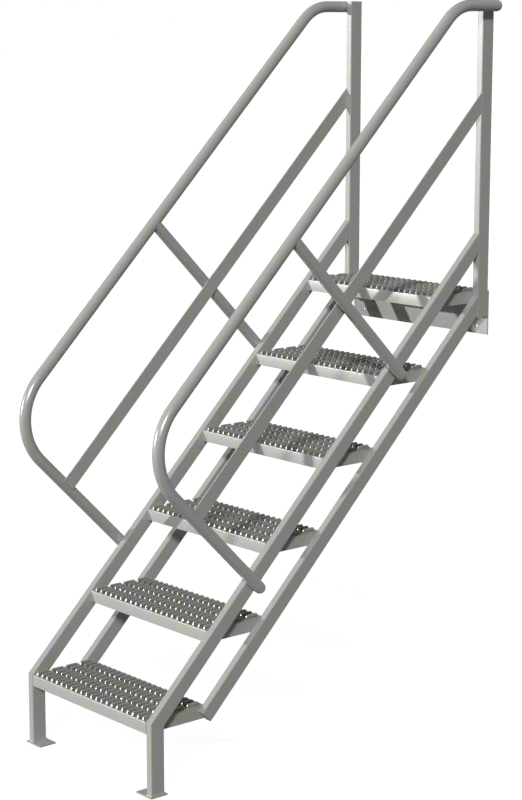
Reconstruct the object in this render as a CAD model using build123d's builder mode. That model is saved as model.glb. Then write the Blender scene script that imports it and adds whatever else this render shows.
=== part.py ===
from build123d import *
from math import atan2, cos, degrees, pi, sin, tan
import os

# Fixed steel stairway, in millimetres. X is its width, +Y the way people climb, +Z is up.
# The origin is the centre of the back plate's rear face, which bolts to the landing.

# Flight
step_count = 6
step_rise = 241.3
step_run = 241.3
clear_width = 609.6
floor_to_nosing = 238.1

# Rectangular tube of the legs, stringers and posts
tube_width = 25.4
tube_depth = 50.8
tube_wall = 3.0
tube_corner = 3.5
stringer_depth = 48.5
stringer_pair_depth = 199.2
lower_stringer_start = 136.0

# Foot plates
foot_thickness = 4.76
foot_margin = 6.35
foot_tab = 44.45

# Top posts and back plate
plate_thickness = 4.76
plate_height = 152.4
plate_over_nosing = 3.2
post_drop = 86.5
post_cap_thickness = 3.0
bolt_hole_diameter = 11.1
bolt_hole_inset = 50.8
bolt_hole_edge = 25.4

# Round tube of the handrails and struts, measured square to the slope from the nosing line
rail_diameter = 38.1
rail_wall = 3.0
rail_height = 631.0
rail_foot_along = 549.8
rail_foot_overlap = 42.4
rail_bottom_bend = 190.5
rail_top_bend = 152.4
rail_top_over_nosing = 953.0
rail_end_setback = 10.0
strut_along = 1413.0
dome_steps = 4

# Flat bar of the mid rails
mid_bar_width = 47.0
mid_bar_thickness = 4.76
mid_bar_height = 330.4

# Tread planks of formed sheet, with rows of long diamond openings between arched strands
tread_depth = 241.3
tread_gap = 10.0
flange_height = 38.1
sheet = 2.7
end_plate_thickness = 4.76
tread_front_margin = 3.2
diamond_rows = 4
diamond_pitch = 27.0
diamond_length = 51.15
strand_width = 5.5
web_width = 6.0
valley_height = 1.0
hump_height = 13.5
hump_slope_run = 6.5

# Derived places
slope = atan2(step_rise, step_run)
half_clear = clear_width / 2
half_width = half_clear + tube_width
plate_top = plate_height / 2
post_back = -plate_thickness
post_front = post_back - tube_depth
last_nosing_y = post_back - tread_gap - tread_depth
last_nosing_z = plate_top - plate_over_nosing
first_nosing_y = last_nosing_y - (step_count - 1) * step_run
first_nosing_z = last_nosing_z - (step_count - 1) * step_rise
floor_z = first_nosing_z - floor_to_nosing
leg_front = first_nosing_y
leg_back = leg_front + tube_depth
rail_centre_x = half_width + rail_diameter / 2
rail_top_z = last_nosing_z + rail_top_over_nosing
overcut = 20.0


def slope_point(along, below):
    """Y and Z of a point so far up the nosing line and so far square below it."""
    y = first_nosing_y + along * cos(slope) + below * sin(slope)
    z = first_nosing_z + along * sin(slope) - below * cos(slope)
    return (y, z)


def slope_z(y, below):
    """Height at y of a line that runs parallel to the nosing line, square below it."""
    return first_nosing_z + (y - first_nosing_y) * tan(slope) - below / cos(slope)


def tube_start(sign, width):
    """Lower X of a member that stands outside the clear width on one side."""
    return half_clear if sign > 0 else -half_clear - width


os.makedirs("parts", exist_ok=True)
made = []


def save(builder, name):
    """Label a finished piece and write it under its name."""
    builder.part.label = name
    export_step(builder.part, "parts/" + name + ".step")
    made.append(name)


def save_dome(centre, outward, name):
    """Domed end cap of a round tube, with its base at centre and its crown along outward."""
    profile_plane = Plane(origin=centre, x_dir=(1, 0, 0), z_dir=Vector(1, 0, 0).cross(outward))
    radius = rail_diameter / 2
    turns = [step * pi / 2 / dome_steps for step in range(dome_steps + 1)]
    with BuildPart() as dome:
        with BuildSketch(profile_plane):
            Polygon((0, 0), *[(radius * cos(turn), radius * sin(turn)) for turn in turns], align=None)
        revolve(axis=Axis(centre, outward))
    save(dome, name)


# Slope levels of the two stringers' faces
upper_top = 0.0
upper_bottom = upper_top + stringer_depth
lower_bottom = upper_top + stringer_pair_depth
lower_top = lower_bottom - stringer_depth

mitre_front = (leg_front, slope_z(leg_front, upper_top))
mitre_back = (leg_back, slope_z(leg_back, upper_bottom))
foot_top = floor_z + foot_thickness
slope_axis = Axis((0, 0, 0), (0, cos(slope), sin(slope)))

for side, sign in (("left", -1), ("right", 1)):
    tube_x = tube_start(sign, tube_width)
    bore_x = tube_x + tube_wall
    bore_width = tube_width - 2 * tube_wall

    # Leg: upright tube, mitred at the top to meet the upper stringer
    with BuildPart() as leg:
        with BuildSketch(Plane.YZ.offset(tube_x)):
            Polygon((leg_front, foot_top), mitre_front, mitre_back, (leg_back, foot_top), align=None)
        extrude(amount=tube_width)
        fillet(leg.edges().filter_by(Axis.Z), radius=tube_corner)
        with BuildSketch(Plane.YZ.offset(bore_x)):
            with Locations(((leg_front + leg_back) / 2, foot_top - overcut)):
                Rectangle(tube_depth - 2 * tube_wall, mitre_front[1] - foot_top + 2 * overcut,
                          align=(Align.CENTER, Align.MIN))
        extrude(amount=bore_width, mode=Mode.SUBTRACT)
    save(leg, "leg_" + side)

    # Foot plate: its wide tab points to the middle of the stair
    foot_outer = half_width + foot_margin
    foot_inner = half_clear - foot_tab
    with BuildPart() as foot:
        with BuildSketch(Plane.XY.offset(floor_z)):
            with Locations((sign * (foot_outer + foot_inner) / 2, (leg_front + leg_back) / 2)):
                Rectangle(foot_outer - foot_inner, tube_depth + 2 * foot_margin)
        extrude(amount=foot_thickness)
    save(foot, "foot_plate_" + side)

    # Upper stringer: from the leg's mitre up to the post's front face
    with BuildPart() as upper:
        with BuildSketch(Plane.YZ.offset(tube_x)):
            Polygon(mitre_front, (post_front, slope_z(post_front, upper_top)),
                    (post_front, slope_z(post_front, upper_bottom)), mitre_back, align=None)
        extrude(amount=tube_width)
        fillet(upper.edges().filter_by(slope_axis), radius=tube_corner)
        with BuildSketch(Plane.YZ.offset(bore_x)):
            Polygon((leg_front - overcut, slope_z(leg_front - overcut, upper_top + tube_wall)),
                    (post_front + overcut, slope_z(post_front + overcut, upper_top + tube_wall)),
                    (post_front + overcut, slope_z(post_front + overcut, upper_bottom - tube_wall)),
                    (leg_front - overcut, slope_z(leg_front - overcut, upper_bottom - tube_wall)), align=None)
        extrude(amount=bore_width, mode=Mode.SUBTRACT)
    save(upper, "upper_stringer_" + side)

    # Lower stringer: square cut and closed at the bottom, butted to the post at the top
    with BuildPart() as lower:
        with BuildSketch(Plane.YZ.offset(tube_x)):
            Polygon(slope_point(lower_stringer_start, lower_top),
                    (post_front, slope_z(post_front, lower_top)),
                    (post_front, slope_z(post_front, lower_bottom)),
                    slope_point(lower_stringer_start, lower_bottom), align=None)
        extrude(amount=tube_width)
        fillet(lower.edges().filter_by(slope_axis), radius=tube_corner)
        with BuildSketch(Plane.YZ.offset(bore_x)):
            Polygon(slope_point(lower_stringer_start + tube_wall, lower_top + tube_wall),
                    (post_front + overcut, slope_z(post_front + overcut, lower_top + tube_wall)),
                    (post_front + overcut, slope_z(post_front + overcut, lower_bottom - tube_wall)),
                    slope_point(lower_stringer_start + tube_wall, lower_bottom - tube_wall), align=None)
        extrude(amount=bore_width, mode=Mode.SUBTRACT)
    save(lower, "lower_stringer_" + side)

    # Top post: open at the bottom, closed by a cap level with the top of the handrail
    post_bottom = last_nosing_z - post_drop
    post_top = rail_top_z + rail_diameter / 2
    tube_top = post_top - post_cap_thickness
    post_centre = (tube_x + tube_width / 2, (post_front + post_back) / 2)
    with BuildPart() as post:
        with BuildSketch(Plane.XY.offset(post_bottom)):
            with Locations(post_centre):
                RectangleRounded(tube_width, tube_depth, tube_corner)
                Rectangle(bore_width, tube_depth - 2 * tube_wall, mode=Mode.SUBTRACT)
        extrude(amount=tube_top - post_bottom)
    save(post, "top_post_" + side)

    with BuildPart() as post_cap:
        with BuildSketch(Plane.XY.offset(tube_top)):
            with Locations(post_centre):
                RectangleRounded(tube_width, tube_depth, tube_corner)
        extrude(amount=post_cap_thickness)
    save(post_cap, "post_cap_" + side)

    # Mid rail: flat bar flush with the post's outer face, lapped inside the handrail's foot
    bar_x = half_width - mid_bar_thickness if sign > 0 else -half_width
    with BuildPart() as mid_rail:
        with BuildSketch(Plane.YZ.offset(bar_x)):
            Polygon(slope_point(rail_foot_along, -mid_bar_height),
                    (post_front, slope_z(post_front, -mid_bar_height)),
                    (post_front, slope_z(post_front, mid_bar_width - mid_bar_height)),
                    slope_point(rail_foot_along, mid_bar_width - mid_bar_height), align=None)
        extrude(amount=mid_bar_thickness)
    save(mid_rail, "mid_rail_" + side)

    # Handrail: one bent tube against the outer faces of the stringer and the post
    rail_plane = Plane.YZ.offset(sign * rail_centre_x)
    foot_end = slope_point(rail_foot_along, rail_foot_overlap)
    foot_corner = slope_point(rail_foot_along, -rail_height)
    top_corner = (first_nosing_y + (rail_top_z - first_nosing_z - rail_height / cos(slope)) / tan(slope),
                  rail_top_z)
    top_end = (post_back - rail_end_setback, rail_top_z)
    with BuildPart() as handrail:
        with BuildLine(rail_plane) as rail_path:
            FilletPolyline(foot_end, foot_corner, top_corner, top_end,
                           radius=(rail_bottom_bend, rail_top_bend))
        with BuildSketch(Plane(origin=rail_path.line @ 0, z_dir=rail_path.line % 0)):
            Circle(rail_diameter / 2)
            Circle(rail_diameter / 2 - rail_wall, mode=Mode.SUBTRACT)
        sweep()
    save(handrail, "handrail_" + side)

    # Domed caps close both ends of the handrail
    save_dome(rail_path.line @ 0, (rail_path.line % 0) * -1, "handrail_bottom_cap_" + side)
    save_dome(rail_path.line @ 1, rail_path.line % 1, "handrail_top_cap_" + side)

    # Strut: square to the slope, coped round the underside of the handrail
    strut_end = slope_point(strut_along, rail_foot_overlap)
    strut_up = Vector(0, -sin(slope), cos(slope))
    strut_plane = Plane(origin=(sign * rail_centre_x, strut_end[0], strut_end[1]), z_dir=strut_up)
    run_dir = Vector(0, cos(slope), sin(slope))
    with BuildPart() as strut:
        with BuildSketch(strut_plane):
            Circle(rail_diameter / 2)
            Circle(rail_diameter / 2 - rail_wall, mode=Mode.SUBTRACT)
        extrude(amount=rail_height + rail_foot_overlap)
        cope_start = slope_point(strut_along - rail_diameter, -rail_height)
        with BuildSketch(Plane(origin=(sign * rail_centre_x, cope_start[0], cope_start[1]), z_dir=run_dir)):
            Circle(rail_diameter / 2)
        extrude(amount=2 * rail_diameter, mode=Mode.SUBTRACT)
    save(strut, "handrail_strut_" + side)

    save_dome(strut_plane.origin, strut_up * -1, "strut_cap_" + side)

# Back plate: bolts to the edge of the landing
with BuildPart() as back_plate:
    with BuildSketch(Plane.XZ):
        Rectangle(2 * half_width, plate_height)
        with Locations((0, bolt_hole_edge - plate_height / 2)):
            with GridLocations(2 * (half_width - bolt_hole_inset), 1, 2, 1):
                Circle(bolt_hole_diameter / 2, mode=Mode.SUBTRACT)
    extrude(amount=plate_thickness)
save(back_plate, "back_plate")

# Tread planks: a channel whose top is four arched rows, pierced by diamond openings
plank_length = clear_width - 2 * end_plate_thickness
row_pitch = diamond_length + web_width
rows_length = diamond_rows * row_pitch - web_width
opening_columns = int((plank_length - strand_width) / diamond_pitch / 2) * 2 - 1
half_long = diamond_length / 2
half_wide = (diamond_pitch - strand_width) / 2
shoulder = half_long - hump_slope_run

for step in range(step_count):
    nose_y = first_nosing_y + step * step_run
    nose_z = first_nosing_z + step * step_rise
    name = "tread_" + str(step + 1)

    front = nose_y + sheet
    back = nose_y + tread_depth - sheet
    low = nose_z - flange_height
    outline = [(front, nose_z - sheet), (front, low), (nose_y, low), (nose_y, nose_z)]
    for row in range(diamond_rows):
        row_start = nose_y + tread_front_margin + row * row_pitch
        row_end = row_start + diamond_length
        outline.append((row_start, nose_z + valley_height))
        outline.append((row_start + hump_slope_run, nose_z + hump_height))
        outline.append((row_end - hump_slope_run, nose_z + hump_height))
        outline.append((row_end, nose_z + valley_height))
    outline += [(nose_y + tread_depth, nose_z), (nose_y + tread_depth, low),
                (back, low), (back, nose_z - sheet)]

    with BuildPart() as tread:
        with BuildSketch(Plane.YZ.offset(-plank_length / 2)):
            Polygon(*outline, align=None)
        extrude(amount=plank_length)
        with BuildSketch(Plane.XY.offset(nose_z - flange_height / 2)):
            with Locations((0, nose_y + tread_front_margin + rows_length / 2)):
                with GridLocations(diamond_pitch, row_pitch, opening_columns, diamond_rows):
                    Polygon((0, -half_long), (half_wide, -shoulder), (half_wide, shoulder),
                            (0, half_long), (-half_wide, shoulder), (-half_wide, -shoulder), align=None)
        extrude(amount=flange_height, mode=Mode.SUBTRACT)
    save(tread, name)

    for side, sign in (("left", -1), ("right", 1)):
        plate_x = half_clear - end_plate_thickness if sign > 0 else -half_clear
        with BuildPart() as end_plate:
            with BuildSketch(Plane.YZ.offset(plate_x)):
                with Locations((nose_y, nose_z)):
                    Rectangle(tread_depth, flange_height, align=(Align.MIN, Align.MAX))
            extrude(amount=end_plate_thickness)
        save(end_plate, name + "_" + side + "_end")

print(len(made), "pieces, slope", round(degrees(slope), 2), "degrees, floor at", round(floor_z, 2))
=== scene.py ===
import math

import bmesh
import bpy
from mathutils import Matrix, Vector


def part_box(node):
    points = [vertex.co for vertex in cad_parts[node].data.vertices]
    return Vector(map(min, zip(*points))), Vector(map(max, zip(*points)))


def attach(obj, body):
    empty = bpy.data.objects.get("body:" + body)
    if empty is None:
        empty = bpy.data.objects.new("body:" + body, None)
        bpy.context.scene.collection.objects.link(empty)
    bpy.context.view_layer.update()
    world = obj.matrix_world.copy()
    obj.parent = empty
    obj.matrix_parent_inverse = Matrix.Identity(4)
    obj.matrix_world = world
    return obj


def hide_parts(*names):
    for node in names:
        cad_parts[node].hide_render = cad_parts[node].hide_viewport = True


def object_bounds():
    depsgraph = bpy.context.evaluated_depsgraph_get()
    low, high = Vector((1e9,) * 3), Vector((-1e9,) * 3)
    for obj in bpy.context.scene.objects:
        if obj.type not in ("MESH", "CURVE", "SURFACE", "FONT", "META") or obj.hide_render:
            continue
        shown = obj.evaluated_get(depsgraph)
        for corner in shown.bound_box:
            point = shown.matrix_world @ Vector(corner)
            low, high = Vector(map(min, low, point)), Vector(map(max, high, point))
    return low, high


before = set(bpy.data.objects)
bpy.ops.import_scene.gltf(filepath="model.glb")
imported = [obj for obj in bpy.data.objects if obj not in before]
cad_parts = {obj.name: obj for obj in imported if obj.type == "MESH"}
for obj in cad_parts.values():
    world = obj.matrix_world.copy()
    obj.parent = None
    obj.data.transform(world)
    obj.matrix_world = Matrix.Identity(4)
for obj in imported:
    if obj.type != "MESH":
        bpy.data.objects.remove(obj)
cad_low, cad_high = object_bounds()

# Camera: a long lens from the front right of the stairway, a little above the middle of its height.
# Its place was found by fitting the treads' corners and the legs to the photograph.
camera_place = Vector((5.0026, -5.0515, 0.9539))
camera_turn = math.radians(49.231)
camera_dip = math.radians(10.427)
camera_roll = math.radians(0.093)
camera_lens = 91.116
film_height = 36.0

camera_data = bpy.data.cameras.new("camera")
camera_data.sensor_fit = "VERTICAL"
camera_data.sensor_height = film_height
camera_data.lens = camera_lens
camera_data.clip_end = 200.0
camera = bpy.data.objects.new("camera", camera_data)
bpy.context.scene.collection.objects.link(camera)
camera.matrix_world = (Matrix.Translation(camera_place)
                       @ Matrix.Rotation(camera_turn, 4, "Z")
                       @ Matrix.Rotation(math.pi / 2 - camera_dip, 4, "X")
                       @ Matrix.Rotation(camera_roll, 4, "Z"))
bpy.context.scene.camera = camera
bpy.context.scene.view_settings.view_transform = "Standard"

# Light: a low key from the front left that throws the rails' shadows on the treads, a softer
# lamp from the right and above that reaches the sides and the deck, and a weak one from behind
# that the paint doesn't mirror.
key_heading = Vector((0.837, 1.0, -0.22))
key_strength = 2.3
key_size = math.radians(1.0)
fill_heading = Vector((-1.0, 1.3, -1.0))
fill_strength = 2.35
fill_size = math.radians(8.0)
back_heading = Vector((0.0, -1.0, -0.35))
back_strength = 0.9
back_size = math.radians(8.0)

for lamp_name, heading, strength, size in (("key", key_heading, key_strength, key_size),
                                           ("fill", fill_heading, fill_strength, fill_size),
                                           ("back", back_heading, back_strength, back_size)):
    lamp_data = bpy.data.lights.new(lamp_name, "SUN")
    lamp_data.energy = strength
    lamp_data.angle = size
    lamp = bpy.data.objects.new(lamp_name, lamp_data)
    lamp.rotation_euler = heading.to_track_quat("-Z", "Y").to_euler()
    lamp.visible_glossy = lamp_name != "back"
    bpy.context.scene.collection.objects.link(lamp)

# Surroundings: white behind the stairway for the camera, a share of that white where the paint
# mirrors it, and dim for the light that they throw.
surround_light = 0.06
mirrored_share = 0.2


def add_node(tree, kind, settings=None, links=None):
    """Add one node, set its properties and sockets, and link sockets to those of other nodes."""
    node = tree.nodes.new(kind)
    for name, value in (settings or {}).items():
        if isinstance(name, str) and hasattr(node, name):
            setattr(node, name, value)
        else:
            node.inputs[name].default_value = value
    for name, source in (links or {}).items():
        tree.links.new(source, node.inputs[name])
    return node


def seen_or_mirrored(tree):
    """Socket that is 1 for what the camera sees, lower for what the paint mirrors, else 0."""
    path = add_node(tree, "ShaderNodeLightPath")
    bounced = add_node(tree, "ShaderNodeMath", {"operation": "MAXIMUM"},
                       {0: path.outputs["Is Glossy Ray"], 1: path.outputs["Is Transmission Ray"]})
    mirrored = add_node(tree, "ShaderNodeMath", {"operation": "MULTIPLY", 1: mirrored_share},
                        {0: bounced.outputs[0]})
    return add_node(tree, "ShaderNodeMath", {"operation": "MAXIMUM"},
                    {0: path.outputs["Is Camera Ray"], 1: mirrored.outputs[0]}).outputs[0]


world = bpy.data.worlds.new("studio")
bpy.context.scene.world = world
world.use_nodes = True
sky = world.node_tree
sky.nodes.clear()
sky_dim = add_node(sky, "ShaderNodeBackground", {"Color": (1, 1, 1, 1), "Strength": surround_light})
sky_white = add_node(sky, "ShaderNodeBackground", {"Color": (1, 1, 1, 1), "Strength": 1.0})
sky_mix = add_node(sky, "ShaderNodeMixShader", links={0: seen_or_mirrored(sky), 1: sky_dim.outputs[0],
                                                      2: sky_white.outputs[0]})
add_node(sky, "ShaderNodeOutputWorld", links={"Surface": sky_mix.outputs[0]})

# Floor: a wide sheet under the feet. The camera sees it white but for a faint shadow, and it throws
# little light up under the treads.
floor_reach = 300.0
floor_drop = 0.0005
floor_glow_strength = 1.17
shadow_share = 0.2


def paint_colour(hex_code):
    """Linear colour of an sRGB hex code."""
    channels = []
    for start in (1, 3, 5):
        c = int(hex_code[start:start + 2], 16) / 255
        channels.append(c / 12.92 if c <= 0.04045 else ((c + 0.055) / 1.055) ** 2.4)
    return (*channels, 1.0)


bpy.ops.object.select_all(action="DESELECT")
bpy.ops.mesh.primitive_plane_add(size=floor_reach, location=(0, 0, cad_low.z - floor_drop))
floor = bpy.context.object
floor.name = "floor"
floor_paint = bpy.data.materials.new("floor")
floor_paint.use_nodes = True
floor_tree = floor_paint.node_tree
floor_tree.nodes.clear()
floor_dark = add_node(floor_tree, "ShaderNodeBsdfDiffuse", {"Color": paint_colour("#606060")})
floor_pale = add_node(floor_tree, "ShaderNodeBsdfDiffuse", {"Color": paint_colour("#F0F0F0")})
floor_glow = add_node(floor_tree, "ShaderNodeEmission",
                      {"Color": (1, 1, 1, 1), "Strength": floor_glow_strength})
floor_seen = add_node(floor_tree, "ShaderNodeMixShader", {0: shadow_share},
                      {1: floor_glow.outputs[0], 2: floor_pale.outputs[0]})
floor_mix = add_node(floor_tree, "ShaderNodeMixShader",
                     links={0: seen_or_mirrored(floor_tree), 1: floor_dark.outputs[0],
                            2: floor_seen.outputs[0]})
add_node(floor_tree, "ShaderNodeOutputMaterial", links={"Surface": floor_mix.outputs[0]})
floor.data.materials.append(floor_paint)

# Paint of the whole frame: a baked grey enamel over welded steel, satin, with the faint
# unevenness of a sprayed coat. It looks a light grey, blotched a little in olive and lilac.
# On the treads the strands' upright sides carry painted shade, darkest deep down in the openings.
blotch_size = 0.04
lilac_end = 0.4
olive_start = 0.6
orange_peel_size = 0.0025
orange_peel_height = 0.0002
orange_peel_strength = 0.01
enamel_roughness = 0.27
enamel_index = 1.6
enamel_metal_share = 0.15
sheet = 0.0027
# Painted shade on the strands' upright sides: it starts and is full at these depths below the strand tops,
# in this colour.
painted_shade_start = 0.0045
painted_shade_full = 0.0070
painted_shade_hex = "#8E8E87"
upright_normal = 0.6


def enamel_coat(name, lilac, olive, painted_side_shade=False):
    """Satin grey enamel of one material, blotched between two shades."""
    material = bpy.data.materials.new(name)
    material.use_nodes = True
    coat = material.node_tree
    coat.nodes.clear()
    place = add_node(coat, "ShaderNodeTexCoord")
    blotch = add_node(coat, "ShaderNodeTexNoise", {"Scale": 1 / blotch_size, "Detail": 2.0},
                      {"Vector": place.outputs["Object"]})
    shade = add_node(coat, "ShaderNodeValToRGB", links={"Fac": blotch.outputs["Fac"]})
    shade.color_ramp.elements[0].position = lilac_end
    shade.color_ramp.elements[0].color = paint_colour(lilac)
    shade.color_ramp.elements[1].position = olive_start
    shade.color_ramp.elements[1].color = paint_colour(olive)
    colour = shade.outputs["Color"]
    if painted_side_shade:
        colour = add_painted_side_shade(coat, place, colour)
    peel = add_node(coat, "ShaderNodeTexNoise", {"Scale": 1 / orange_peel_size, "Detail": 1.0},
                    {"Vector": place.outputs["Object"]})
    bump = add_node(coat, "ShaderNodeBump",
                    {"Strength": orange_peel_strength, "Distance": orange_peel_height},
                    {"Height": peel.outputs["Fac"]})
    shader = add_node(coat, "ShaderNodeBsdfPrincipled",
                      {"Roughness": enamel_roughness, "IOR": enamel_index, "Metallic": enamel_metal_share},
                      {"Base Color": colour, "Normal": bump.outputs["Normal"]})
    add_node(coat, "ShaderNodeOutputMaterial", links={"Surface": shader.outputs["BSDF"]})
    return material


def add_painted_side_shade(tree, place, colour):
    """Paint shade on the strands' upright sides, darker the deeper they lie in the openings."""
    step_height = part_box("tread_2")[0].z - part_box("tread_1")[0].z
    strand_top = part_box("tread_1")[1].z
    corner = add_node(tree, "ShaderNodeSeparateXYZ", links={"Vector": place.outputs["Object"]})
    level = add_node(tree, "ShaderNodeMath",
                     {"operation": "WRAP", 1: strand_top + sheet, 2: strand_top + sheet - step_height},
                     {0: corner.outputs["Z"]})
    depth = add_node(tree, "ShaderNodeMapRange",
                     {"From Min": strand_top - painted_shade_start, "From Max": strand_top - painted_shade_full},
                     {"Value": level.outputs[0]})
    surface = add_node(tree, "ShaderNodeNewGeometry")
    facing = add_node(tree, "ShaderNodeSeparateXYZ", links={"Vector": surface.outputs["True Normal"]})
    sideways = add_node(tree, "ShaderNodeMath", {"operation": "ABSOLUTE"}, {0: facing.outputs["X"]})
    upright = add_node(tree, "ShaderNodeMath", {"operation": "GREATER_THAN", 1: upright_normal},
                       {0: sideways.outputs[0]})
    # Painted shade wherever a face is upright and lies deep in an opening.
    shade_amount = add_node(tree, "ShaderNodeMath", {"operation": "MULTIPLY"},
                    {0: depth.outputs["Result"], 1: upright.outputs[0]})
    return add_node(tree, "ShaderNodeMixRGB", {"Color2": paint_colour(painted_shade_hex)},
                    {"Fac": shade_amount.outputs[0], "Color1": colour}).outputs["Color"]


enamel = enamel_coat("grey_enamel", "#B7B4B9", "#B6B6A9")
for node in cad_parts.values():
    node.data.materials.clear()
    node.data.materials.append(enamel)

# Tread planks: steel sheet slit and pressed into rows of arched, saw-topped strands between long
# openings, with a flange folded down in front and behind. A strand's stations are, from the middle
# of a web to its own middle, the way along it, its height and its width, in millimetres.
tread_count = 6
strand_columns = 22
strand_rows = 4
strand_pitch = 0.027
strand_crown = 0.0006
strand_skirt = 0.0095
front_margin = 0.0002
front_strip = 0.003
fold_radius = 0.0028
strand_splits = 4
fold_segments = 4
near = 1e-5
same_place = 1e-6
raised = 0.001
square_on = 0.9
parked = 10
deck_smooth_angle = math.radians(35)
strand_stations = (
    (0.0, 0.0, 27.0), (3.0, 0.0, 27.0), (3.5, 0.5, 9.0), (4.6, 4.6, 6.8), (5.8, 8.6, 5.6),
    (7.4, 11.8, 4.8), (9.6, 13.3, 4.4), (12.9, 12.6, 4.4), (16.1, 13.4, 4.4), (19.2, 12.6, 4.4),
    (22.4, 13.5, 4.4), (25.5, 12.8, 4.4), (28.575, 13.5, 4.4))
# The treads' enamel: its own blotch shades, with painted shade down the strands' upright sides.
tread_enamel = enamel_coat("tread_enamel_painted_shade", "#ABACB8", "#ADAE99", painted_side_shade=True)
plank_low, plank_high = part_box("tread_1")
plank_depth = plank_high.y - plank_low.y
plank_middle = (plank_high.y + plank_low.y) / 2
row_pitch = 2 * strand_stations[-1][0] / 1000
deck_back = plank_low.y + front_margin + strand_rows * row_pitch
deck_z = plank_high.z - strand_stations[-1][1] / 1000
flange_height = deck_z - plank_low.z
half_stations = len(strand_stations) - 1


def pick(mesh, test):
    """Select in edit mode just the corners, edges or faces that pass a test, by select mode."""
    shape = bmesh.from_edit_mesh(mesh)
    modes = bpy.context.tool_settings.mesh_select_mode
    bpy.ops.mesh.select_all(action="DESELECT")
    for part in (shape.verts if modes[0] else shape.edges if modes[1] else shape.faces):
        part.select_set(test(part))
    shape.select_flush_mode()
    bmesh.update_edit_mesh(mesh)


def select_mode(kind):
    """Switch edit mode to corners, edges or faces."""
    bpy.ops.mesh.select_mode(type=kind)


# One strand, from the middle of one web to the middle of the next
bpy.ops.object.select_all(action="DESELECT")
bpy.ops.mesh.primitive_grid_add(x_subdivisions=strand_splits, y_subdivisions=2 * half_stations, size=1)
plank = bpy.context.object
bpy.ops.object.mode_set(mode="EDIT")
select_mode("VERT")
bpy.ops.transform.resize(value=(strand_pitch, 1, 1))
for index in range(2 * half_stations + 1):
    from_end = min(index, 2 * half_stations - index)
    along, height, width = (value / 1000 for value in strand_stations[from_end])
    old_y = index / (2 * half_stations) - 0.5
    new_y = (along - row_pitch / 2) if index <= half_stations else (row_pitch / 2 - along)
    pick(plank.data, lambda corner: abs(corner.co.y - old_y) < near and corner.co.z == 0)
    bpy.ops.transform.resize(value=(width / strand_pitch, 1, 1), center_override=(0, 0, 0))
    bpy.ops.transform.translate(value=(0, new_y - old_y + parked, height))
pick(plank.data, lambda corner: True)
bpy.ops.transform.translate(value=(0, -parked, 0))
pick(plank.data, lambda corner: corner.co.z > raised and len(corner.link_faces) < 4)
bpy.ops.transform.translate(value=(0, 0, -strand_crown))
bpy.ops.mesh.select_all(action="SELECT")
bpy.ops.mesh.extrude_region_move(TRANSFORM_OT_translate={"value": (0, 0, -sheet)})
under = bmesh.from_edit_mesh(plank.data)
under_corners = {corner.index for corner in under.verts if corner.select}
for from_end in range(half_stations + 1):
    along, height, width = (value / 1000 for value in strand_stations[from_end])
    if height > 0:
        pick(plank.data, lambda corner: corner.index in under_corners
             and abs(row_pitch / 2 - abs(corner.co.y) - along) < near)
        bpy.ops.transform.resize(value=(1, 1, 0), center_override=(0, 0, -strand_skirt))
select_mode("FACE")
pick(plank.data, lambda face: all(abs(abs(c.co.x) - strand_pitch / 2) < near for c in face.verts)
     or all(abs(abs(c.co.y) - row_pitch / 2) < near for c in face.verts))
bpy.ops.mesh.delete(type="FACE")
bpy.ops.object.mode_set(mode="OBJECT")

# The deck: the strand repeated across and along, its outer webs drawn out to the end plates
for count, step in ((strand_columns, (strand_pitch, 0, 0)), (strand_rows, (0, row_pitch, 0))):
    repeat = plank.modifiers.new("repeat", "ARRAY")
    repeat.count = count
    repeat.use_relative_offset = False
    repeat.use_constant_offset = True
    repeat.constant_offset_displace = step
    repeat.use_merge_vertices = True
    repeat.merge_threshold = near
    bpy.ops.object.modifier_apply(modifier=repeat.name)
bpy.ops.object.mode_set(mode="EDIT")
bpy.ops.mesh.select_all(action="SELECT")
bpy.ops.transform.translate(value=(-strand_pitch * (strand_columns - 1) / 2,
                                   plank_low.y + front_margin + row_pitch / 2, deck_z))
bpy.ops.mesh.remove_doubles(threshold=same_place)
bpy.ops.mesh.fill_holes(sides=0)
select_mode("VERT")
pick(plank.data, lambda corner: corner.co.y < plank_low.y + front_margin + near)
bpy.ops.transform.translate(value=(0, front_strip - front_margin, 0))
deck_edge = strand_pitch * strand_columns / 2
for way in (-1, 1):
    pick(plank.data, lambda corner: way * corner.co.x > deck_edge - near)
    bpy.ops.transform.translate(value=(way * (plank_high.x - deck_edge), 0, 0))
bpy.ops.object.mode_set(mode="OBJECT")

# The folded flanges, with the plain strip of deck beside each
bpy.ops.object.select_all(action="DESELECT")
bpy.ops.mesh.primitive_cube_add(size=1, location=(0, plank_middle, deck_z - flange_height / 2),
                                scale=(plank_high.x - plank_low.x, plank_depth, flange_height))
bpy.ops.object.transform_apply(location=True, rotation=False, scale=True)
flanges = bpy.context.object
bpy.ops.object.mode_set(mode="EDIT")
select_mode("FACE")
pick(flanges.data, lambda face: face.normal.z < -square_on or abs(face.normal.x) > square_on)
bpy.ops.mesh.delete(type="FACE")
for cut_y in (plank_low.y + front_strip, deck_back):
    bpy.ops.mesh.select_all(action="SELECT")
    bpy.ops.mesh.bisect(plane_co=(0, cut_y, 0), plane_no=(0, 1, 0))
pick(flanges.data, lambda face: face.normal.z > square_on
     and plank_low.y + front_strip < face.calc_center_median().y < deck_back)
bpy.ops.mesh.delete(type="FACE")
select_mode("EDGE")
pick(flanges.data, lambda edge: len(edge.link_faces) == 2)
bpy.ops.mesh.bevel(offset=fold_radius, segments=fold_segments)
bpy.ops.object.mode_set(mode="OBJECT")
wall = flanges.modifiers.new("wall", "SOLIDIFY")
wall.thickness = sheet
wall.offset = -1
bpy.ops.object.modifier_apply(modifier=wall.name)
flanges.data.materials.append(enamel)
plank.data.materials.append(tread_enamel)

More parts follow.
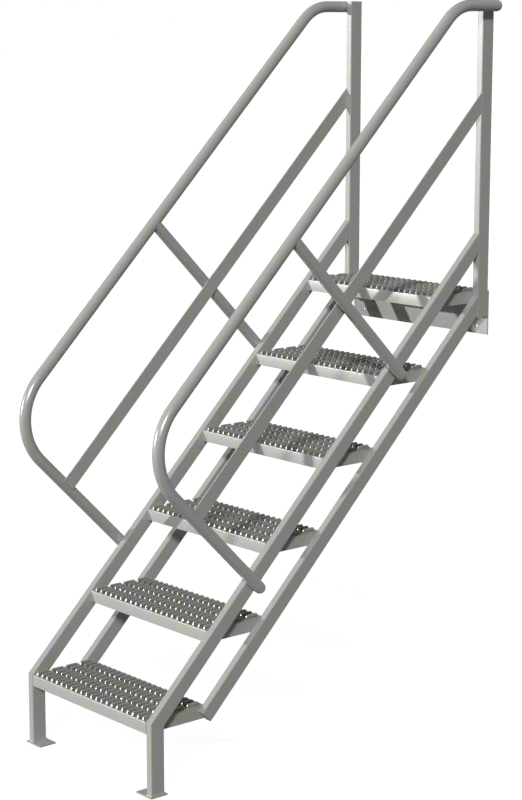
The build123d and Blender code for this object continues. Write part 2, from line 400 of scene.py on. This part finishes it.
# Plain strips that close the deck between its outer strands and the end plates
strips = []
strip_start = strand_pitch * (strand_columns - 1) / 2
strip_length = plank_high.x - strip_start
strip_width = deck_back - plank_low.y - front_strip
strip_sink = 0.0003
for way in (-1, 1):
    bpy.ops.object.select_all(action="DESELECT")
    bpy.ops.mesh.primitive_cube_add(size=1, location=(way * (strip_start + strip_length / 2),
                                                      deck_back - strip_width / 2,
                                                      deck_z - strip_sink - sheet / 2),
                                    scale=(strip_length, strip_width, sheet))
    bpy.ops.object.transform_apply(location=True, rotation=False, scale=True)
    bpy.context.object.data.materials.append(tread_enamel)
    strips.append(bpy.context.object)
bpy.ops.object.select_all(action="DESELECT")
for part in (flanges, plank, *strips):
    part.select_set(True)
bpy.context.view_layer.objects.active = plank
bpy.ops.object.join()
bpy.ops.object.mode_set(mode="EDIT")
bpy.ops.mesh.select_all(action="SELECT")
bpy.ops.mesh.normals_make_consistent(inside=False)
bpy.ops.object.mode_set(mode="OBJECT")
bpy.ops.object.shade_smooth_by_angle(angle=deck_smooth_angle)

for number in range(1, tread_count + 1):
    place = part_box("tread_%d" % number)[0] - plank_low
    tread = plank
    if number > 1:
        tread = plank.copy()
        tread.data = plank.data.copy()
        bpy.context.scene.collection.objects.link(tread)
        tread.data.transform(Matrix.Translation(place))
    tread.name = "plank_%d" % number
    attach(tread, "root")
    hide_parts("tread_%d" % number)

# Weld beads: round runs of weld metal laid in the corners where the pieces meet, under the paint.
# They go round the feet of the legs, up both ends of each tread's front, and up the posts' inner
# edges on the back plate.
bead_radius = 0.0024
bead_sides = 16
bead_inset = 0.002
bead_smooth_angle = math.radians(40)
leg_depth = 0.0508
beads = []


def bead(start, end):
    """One straight run of weld between two points."""
    run = end - start
    bpy.ops.object.select_all(action="DESELECT")
    bpy.ops.mesh.primitive_cylinder_add(vertices=bead_sides, radius=bead_radius, depth=run.length)
    laid = bpy.context.object
    turn = run.to_track_quat("Z", "Y").to_matrix().to_4x4()
    laid.data.transform(Matrix.Translation((start + end) / 2) @ turn)
    beads.append(laid)


for side in ("left", "right"):
    way = -1 if side == "left" else 1
    leg_low, leg_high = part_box("leg_" + side)
    leg_back = leg_low.y + leg_depth
    ring = [Vector((x, y, leg_low.z)) for x, y in ((leg_low.x, leg_low.y), (leg_high.x, leg_low.y),
                                                   (leg_high.x, leg_back), (leg_low.x, leg_back))]
    for index, corner in enumerate(ring):
        bead(corner, ring[index - 1])
    for number in range(1, tread_count + 1):
        end_low, end_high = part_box("tread_%d_%s_end" % (number, side))
        joint_x = end_high.x if way > 0 else end_low.x
        bead(Vector((joint_x, end_low.y, end_low.z + bead_inset)),
             Vector((joint_x, end_low.y, end_high.z - bead_inset)))
    post_low, post_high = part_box("top_post_" + side)
    inner_x = post_low.x if way > 0 else post_high.x
    bead(Vector((inner_x, post_high.y, post_low.z + bead_inset)),
         Vector((inner_x, post_high.y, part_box("back_plate")[1].z - bead_inset)))

bpy.ops.object.select_all(action="DESELECT")
for laid in beads:
    laid.select_set(True)
bpy.context.view_layer.objects.active = beads[0]
bpy.ops.object.join()
welds = bpy.context.object
welds.name = "weld_beads"
bpy.ops.object.shade_smooth_by_angle(angle=bead_smooth_angle)
welds.data.materials.append(enamel)
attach(welds, "root")

bpy.context.view_layer.update()
